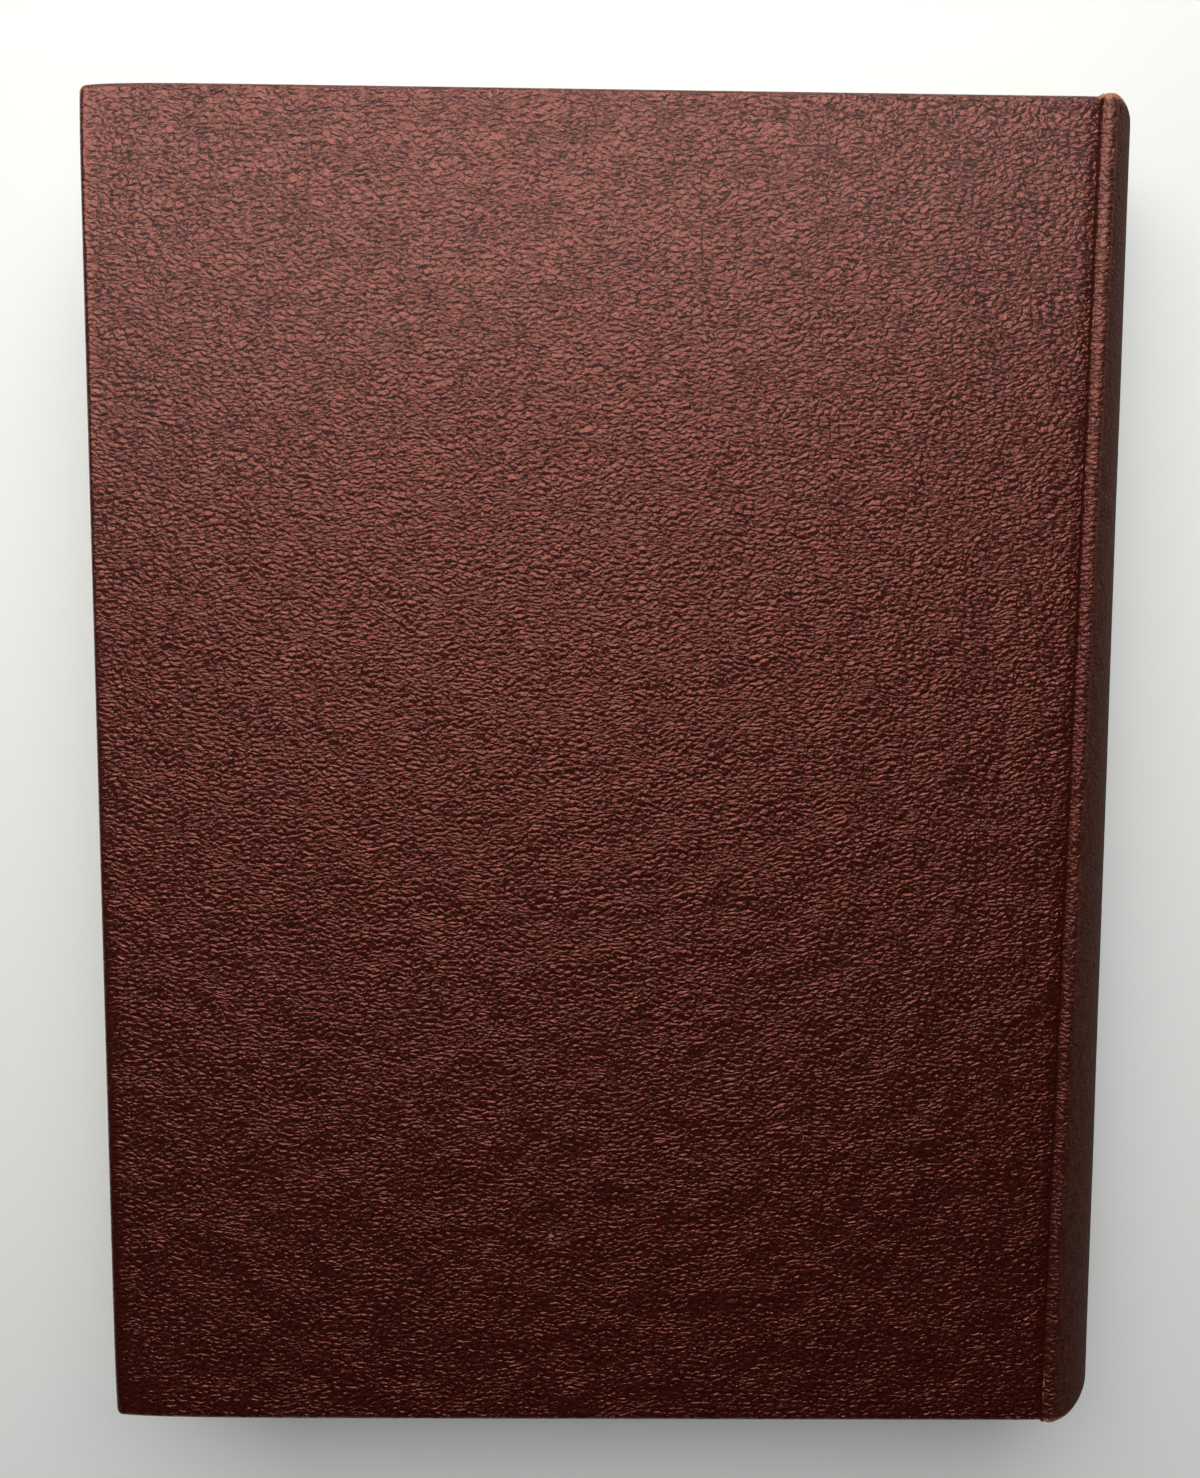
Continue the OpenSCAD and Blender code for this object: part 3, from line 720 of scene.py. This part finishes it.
def cover_leather(cover):
    """Outer face, three wrapped edges and the turn-ins round the board, open at the joint."""
    x = np.linspace(fore_x + corner_r, board_edge_x, 184)
    y = np.linspace(-cover_half + corner_r, cover_half - corner_r, 380)
    turn = np.linspace(0, math.pi / 2, 7)

    # The skin's way round the board's edge: how far in from the outline, and how deep.
    inner = cover_depth - turn_in_t
    rings = [(corner_r, 0)]
    rings += [(arris_r * (1 - math.sin(a)), arris_r * (1 - math.cos(a))) for a in turn]
    rings += [(arris_r * (1 - math.cos(a)), cover_depth - arris_r * (1 - math.sin(a))) for a in turn]
    rings += [(inset, cover_depth) for inset in (2, 4, 8, turn_in_w)]
    outer_rings = len(rings)
    rings += [(turn_in_w, inner), (leather_t, inner), (leather_t, leather_t)]

    def loop(inset):
        """The cover's outline moved in by an inset: tail, fore-edge and head, then the joint."""
        round_r = max(corner_r - inset, 0)
        edge_x = fore_x + inset
        edge_y = cover_half - inset
        side_x = np.maximum(x, edge_x + round_r)
        side_y = np.clip(y, -edge_y + round_r, edge_y - round_r)
        hub_x, hub_y = edge_x + round_r, edge_y - round_r
        tail = np.stack([side_x[::-1], np.full(len(x), -edge_y)], -1)
        corner = np.stack([hub_x - round_r * np.sin(turn), -hub_y - round_r * np.cos(turn)], -1)
        fore = np.stack([np.full(len(y), edge_x), side_y], -1)
        joint_y = y[::-1] * edge_y / (cover_half - corner_r)
        joint = np.stack([np.full(len(y), board_edge_x), joint_y], -1)
        head, head_corner = tail[::-1] * [1, -1], corner[::-1] * [1, -1]
        return np.concatenate([tail, corner, fore, head_corner, head, joint])

    points, skin = [], []
    travel = np.cumsum([0] + [math.dist(a, b) for a, b in zip(rings, rings[1:])])
    for number, (inset, depth) in enumerate(rings):
        outline = loop(inset)
        depths = np.full(len(outline), float(depth))
        depths[-len(y):] = np.maximum(leather_t * min(number / outer_rings, 1),
                                      end_drop(outline[-len(y):, 1]))
        points.append(np.column_stack([outline, -depths]))
        skin.append(np.column_stack([loop(corner_r - travel[number]), 0 * depths]))
    around = len(points[0])
    face_start = len(points) * around
    faces = ring_faces(len(points), around)
    faces.append(tuple(range(face_start - around, face_start)))
    faces += grid_faces(len(x), len(y), face_start)
    grid_x, grid_y = np.meshgrid(x, y, indexing="ij")
    grid = np.stack([grid_x, grid_y, 0 * grid_x], -1).reshape(-1, 3)
    points = np.concatenate(points + [grid])
    skin = np.concatenate(skin + [grid])

    # The face swells and folds, falls toward the joint, and is pinched and lowered at its tips.
    px, py, depth = points[:, 0], points[:, 1], -points[:, 2]
    top = smooth(1 - depth / arris_r)
    from_joint = board_edge_x - px
    from_fore = px - fore_x
    from_end = cover_half - np.abs(py)
    tip = np.hypot(from_fore, from_end)
    at_head = py > 0
    points[:, 2] -= top * (puckers(px, py) + edge_fall * smooth(1 - from_joint / edge_fall_w))
    pinch = side_pinch * np.exp(-from_fore / np.where(at_head, 6, 11))
    points[:, 1] -= np.sign(py) * pinch * smooth(1 - from_end / 12)
    points[:, 0] += fore_pinch * smooth(1 - from_fore / 10) * np.exp(-from_end / 7)
    points[:, 2] += book_t - tip_fall * np.exp(-tip / 5) * top

    # The tips and the ends of the joint are worn, and the grain is flat along the fore-edge.
    worn = 0.8 * np.exp(-(tip / 2.4) ** 2) * smooth(depth / 0.35)
    joint_end = np.hypot(from_joint, from_end)
    worn = np.maximum(worn, np.where(at_head, 0.8, 0.4) * np.exp(-(joint_end / 0.9) ** 2))
    if cover == "back":
        for mark_x, mark_y, reach_x, reach_y in scuffs:
            spot = ((px - mark_x) / reach_x) ** 2 + ((py - mark_y) / reach_y) ** 2
            worn = np.maximum(worn, 0.75 * np.exp(-spot) * top)
    sleek = np.maximum(0.7 * smooth(1.6 - from_fore / 2), 0.5 * np.exp(-(tip / 9) ** 2))
    sleek = np.maximum(sleek, groove_sleek * smooth(1 - from_joint / 1.5))
    made = make_piece(f"{cover}_cover_leather", for_cover(points, cover), faces, leather, crease=60,
                      marks={"worn": worn, "sleek": sleek, "skin": skin})
    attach(made, f"{cover}_cover")
    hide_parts(f"{cover}_leather")


for cover in ("back", "front"):
    cover_leather(cover)


# Spine leather: drawn tight over the hollow from joint to joint, with a ridge over each
# shoulder. At head and tail it is folded in over the endband and set down as a headcap.
spine_half = corners("spine_leather")[1][1]
rub_angle, ridge_fade = 1.3, 0.15

# The skin is drawn tighter here, so that less of its unevenness is left, and a radian of its
# round is about this many millimetres long.
left_uneven, radian_length = 0.6, 20

# The headcap's thickness, and how far its lip reaches in at the shoulders and at the middle.
cap_t, shoulder_round, shoulder_lip, lip_reach = 0.9, 0.8, 0.5, 0.8

# Length of each headcap along the spine, and how far it rounds down: head, then tail.
caps = {1: (2.6, 2.4), -1: (4.5, 4)}


def quarter(s):
    """Share of a quarter round at a distance s of 0 to 1 from its end."""
    return 1 - np.sqrt(np.maximum(0, 1 - (1 - np.minimum(s, 1)) ** 2))


def spine_leather():
    """The skin over the spine, from one section whose depth changes into the headcaps."""
    plain = np.linspace(-spine_half + caps[-1][0], spine_half - caps[1][0], 250)
    rise = np.radians(np.concatenate([np.linspace(4, 76, 16), [90]]))
    flat = (leather_t, leather_t)
    stations = [(y, (0, 0), flat) for y in plain]
    for side, (length, mid_round) in caps.items():
        cap = []
        for share in 1 - np.sin(rise):
            fold = quarter((max(cap_t, share * length) - cap_t) / (length - cap_t))
            crown = quarter(share)
            outer = (shoulder_round * crown, mid_round * crown)
            inner = (leather_t + (shoulder_round + shoulder_lip - leather_t) * fold,
                     leather_t + (mid_round + lip_reach - leather_t) * fold)
            cap.append((side * (spine_half - share * length), outer, inner))
        stations = stations + cap if side > 0 else cap[::-1] + stations
    y = np.array([s[0] for s in stations])[:, None]
    half_angle, _ = spine_round(y)
    over = np.linspace(0, 1, 15)
    angle = np.concatenate([lip_angle + (half_angle - lip_angle) * over,
                            half_angle * np.linspace(1, -1, 46)[1:-1],
                            -lip_angle + (lip_angle - half_angle) * over[::-1]], 1)
    off_middle = np.abs(angle)
    toward_middle = np.cos(np.pi / 2 * angle / half_angle) ** 2 * (off_middle < half_angle)
    grids = []
    for face in (1, 2):
        inset = np.array([s[face] for s in stations])
        inset = inset[:, :1] + (inset[:, 1:] - inset[:, :1]) * toward_middle
        if face == 1:
            uneven = left_uneven * puckers(angle * radian_length, y + 0 * angle)
            inset += uneven * (off_middle < half_angle + 0.3)
        grids.append(spine_point(angle, y + 0 * angle, inset))

    # The skin is bare on the headcaps, rubbed along the ridges, and faded over the round.
    from_end = spine_half - np.abs(y)
    bare = np.where(y > 0, 1.1 * np.exp(-from_end / 1.6), 0.85 * np.exp(-from_end / 1.8))
    bare = bare * (0.4 + 0.6 * smooth(off_middle / half_angle))
    rubbed = 0.4 * np.exp(-((off_middle - 1.9) / 0.25) ** 2) * smooth(0.2 + y / 130)
    sleek = np.maximum(groove_sleek * np.exp(-((off_middle - lip_angle) / 0.35) ** 2),
                       0.15 * (off_middle < rub_angle))
    faded = 0.6 + 0.4 * np.exp(-(angle / 0.7) ** 2)
    faded = ridge_fade + (faded - ridge_fade) * smooth((rub_angle - off_middle) / 0.3)
    steps = np.diff(grids[0], axis=1, prepend=grids[0][:, :1])
    run = np.cumsum(np.linalg.norm(steps, axis=2), axis=1)
    skin = np.stack([joint_section()[2][-1] + run, y + 0 * run, 0 * run], -1)
    made = sheet("spine_leather_skin", grids[0], grids[1], leather, crease=60,
                 marks={"worn": np.maximum(bare, rubbed), "sleek": sleek, "faded": faded,
                        "skin": skin})

    # Between the ridges hands have rubbed the grain smooth.
    made.data.materials.append(spine_skin)
    on_round = np.abs(angle[0, :-1] + angle[0, 1:]) / 2 < rub_angle
    outer_faces = (len(y) - 1) * len(on_round)
    for number, face in enumerate(made.data.polygons[:outer_faces]):
        face.material_index = int(on_round[number % len(on_round)])
    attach(made, "text_block")
    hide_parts("spine_leather")


spine_leather()


# Outer joints: the same skin, set down into a groove between board and shoulder with a
# bone folder.
def outer_joint(cover):
    """A strip from the board's edge to the spine's lip, rounded over at head and tail."""
    x, depth, run = joint_section()
    tangent = np.stack([np.gradient(x), -np.gradient(depth)], -1)
    tangent /= np.linalg.norm(tangent, axis=1)[:, None]
    across = (x - x[0]) / (x[-1] - x[0])
    half = cover_half + (spine_half - cover_half) * smooth(across)
    rounding = arris_r * np.sin(np.linspace(0, math.pi / 2, 9))
    grids = []
    for inset in (0, leather_t):
        rows = []
        for place, level, (run_x, run_z), row_half in zip(x, depth, tangent, half):
            plain = row_half - arris_r
            y = np.concatenate([-plain - rounding[:0:-1], plain * np.linspace(-1, 1, 380),
                                plain + rounding[1:]])
            drop = end_drop(np.clip(np.abs(y) - row_half + cover_half, 0, cover_half))
            drop -= 0.6 * (level - edge_fall) * np.exp(-((row_half - np.abs(y)) / 1.5) ** 2)
            rows.append(np.stack([joint_x + place + inset * run_z + 0 * y, y,
                                  book_t - level - drop - inset * run_x], -1))
        grids.append(np.array(rows))
    across = across[:, None]
    y = grids[0][..., 1]
    skin = np.stack([run[:, None] + 0 * y, y, 0 * y], -1)
    grids[0][..., 2] -= puckers(grids[0][..., 0], y) * smooth(1 - across)

    # The ends are worn bare, and on the upper cover the lip is scuffed near head and tail.
    worn = np.where(y > 0, 1.0, 0.6) * np.exp((np.abs(y) - half[:, None]) / 1.2)
    if cover == "back":
        lip = np.exp(-((across - 0.8) / 0.2) ** 2)
        scuff = 0.55 * np.exp(-((y + 120) / 4) ** 4) + 0.45 * np.exp(-((y - 100) / 14) ** 2)
        worn = np.maximum(worn, lip * scuff)
    made = sheet(f"{cover}_outer_joint", for_cover(grids[0], cover), for_cover(grids[1], cover),
                 leather, crease=60,
                 marks={"worn": worn, "sleek": groove_sleek + 0 * y,
                        "faded": ridge_fade * smooth(across) + 0 * y, "skin": skin})
    bend_across(made, cover)


for cover in ("back", "front"):
    outer_joint(cover)


# Floor: a plain matt white table top. It lies a third of a millimetre under the book, so
# that the front cover, opened flat beside the spine, isn't lost in it.
floor_gap = 0.35 * mm
floor_reach = 3
fade_start, fade_end = 0.3, 0.75
plain_white = linear("#f4f4f2")


# Matt paint, a light grey. For the camera it passes into plain white away from the book.
def table_paint():
    material, tree, surface, _ = new_material("matt_white_paint")
    give(tree, surface, Base_Color=linear("#ced0d0"), Roughness=0.9)
    place = add(tree, "ShaderNodeTexCoord").outputs["Object"]
    reach = add(tree, "ShaderNodeVectorMath", {0: place}, operation="LENGTH").outputs["Value"]
    far = add(tree, "ShaderNodeMapRange",
              {"Value": reach, "From Min": fade_start, "From Max": fade_end},
              interpolation_type="SMOOTHSTEP")
    ray = add(tree, "ShaderNodeLightPath")
    share = add(tree, "ShaderNodeMath", {0: far, 1: ray.outputs["Is Camera Ray"]},
                operation="MULTIPLY")
    white = add(tree, "ShaderNodeEmission", {"Color": plain_white, "Strength": 1})
    either = add(tree, "ShaderNodeMixShader", {0: share, 1: surface.outputs[0], 2: white})
    tree.links.new(either.outputs[0], tree.nodes["Material Output"].inputs["Surface"])
    return material


floor_mesh = bpy.data.meshes.new("floor")
floor_mesh.from_pydata([(x * floor_reach, y * floor_reach, -floor_gap)
                        for x, y in ((-1, -1), (1, -1), (1, 1), (-1, 1))], [], [(0, 1, 2, 3)])
floor_mesh.materials.append(table_paint())
floor = bpy.data.objects.new("floor", floor_mesh)
bpy.context.scene.collection.objects.link(floor)


# Light: a wide, soft window beyond the head of the book, which also gives the gleam on its
# leather, and the light of a ceiling, which is matt and gives none. The room is dim, and a
# little brighter on the window's side.
def area_light(name, place, target, size, power, colour):
    data = bpy.data.lights.new(name, "AREA")
    data.shape = "RECTANGLE"
    data.size, data.size_y = size
    data.energy = power
    data.color = linear(colour)[:3]
    lamp = bpy.data.objects.new(name, data)
    bpy.context.scene.collection.objects.link(lamp)
    lamp.location = place
    lamp.rotation_euler = (Vector(target) - Vector(place)).to_track_quat("-Z", "Y").to_euler()
    return lamp


area_light("window", (-0.05, 0.38, 0.45), (0, 0, 0), (0.8, 0.48), 6.0, "#fffdf8")
ceiling = area_light("ceiling", (0, -0.1, 1.2), (0, 0, 0), (1.2, 1.2), 5.0, "#ffffff")
ceiling.visible_glossy = False

world = bpy.data.worlds.new("room")
bpy.context.scene.world = world
world.use_nodes = True
tree = world.node_tree
way = add(tree, "ShaderNodeTexCoord").outputs["Generated"]
toward = add(tree, "ShaderNodeVectorMath", {0: way, 1: (-0.6, 0.8, 0)},
             operation="DOT_PRODUCT").outputs["Value"]
side = add(tree, "ShaderNodeMapRange",
           {"Value": toward, "From Min": -0.2, "From Max": 1, "To Min": 0.01, "To Max": 0.2})
room = tree.nodes["Background"]
room.inputs["Color"].default_value = linear("#f6f7fa")
tree.links.new(side.outputs[0], room.inputs["Strength"])

# Seen by the camera itself, the room is the same plain white as the far table.
ray = add(tree, "ShaderNodeLightPath")
seen = add(tree, "ShaderNodeBackground", {"Color": plain_white, "Strength": 1})
either = add(tree, "ShaderNodeMixShader",
             {0: ray.outputs["Is Camera Ray"], 1: room.outputs[0], 2: seen.outputs[0]})
tree.links.new(either.outputs[0], tree.nodes["World Output"].inputs["Surface"])
bpy.context.scene.view_settings.view_transform = "Standard"
